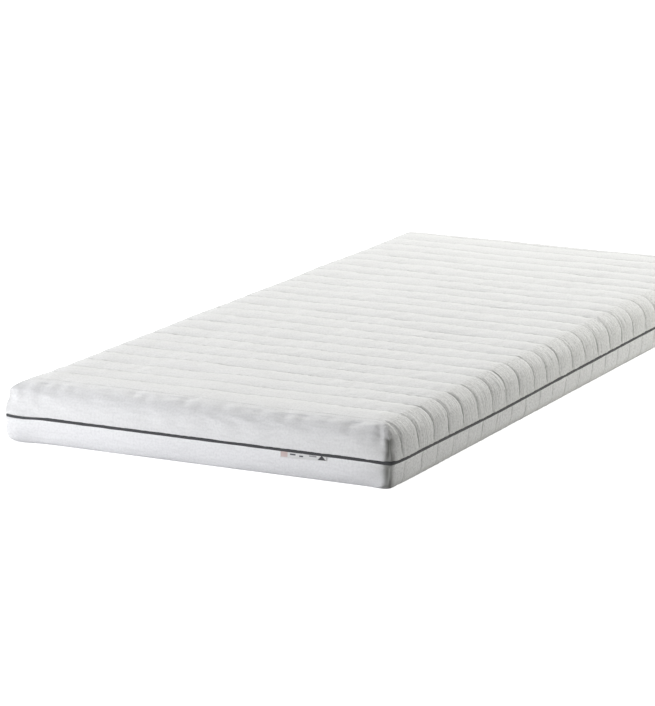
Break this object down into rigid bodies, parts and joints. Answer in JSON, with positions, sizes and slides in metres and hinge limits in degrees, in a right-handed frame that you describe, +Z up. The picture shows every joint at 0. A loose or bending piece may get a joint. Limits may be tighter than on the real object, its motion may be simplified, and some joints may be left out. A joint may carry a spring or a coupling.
{
  "type": "foam mattress",
  "caption": "Single foam mattress lying flat, in a white cover quilted in straight channels across, with dark piping right round its edge and a small sewn tape at the foot.",
  "frame": {"origin": "centre of the underside, on the surface that the mattress lies on", "axes": "+X across the width, +Y along the length from the labelled end to the other, +Z up"},
  "size_m": [0.9, 2, 0.138],
  "materials": {
    "cover_fabric": "white stretch knit with a fine dull texture, quilted on wadding, clean and unworn",
    "piping_fabric": "charcoal woven bias strip over a cord, matt",
    "label_fabric": "off-white woven tape with a plain rose block and plain dark bars, slight satin"
  },
  "bodies": {
    "root": {"upper_cover": "cover_fabric", "lower_cover": "cover_fabric", "edge_piping": "piping_fabric", "side_label": "label_fabric"}
  },
  "joints": []
}
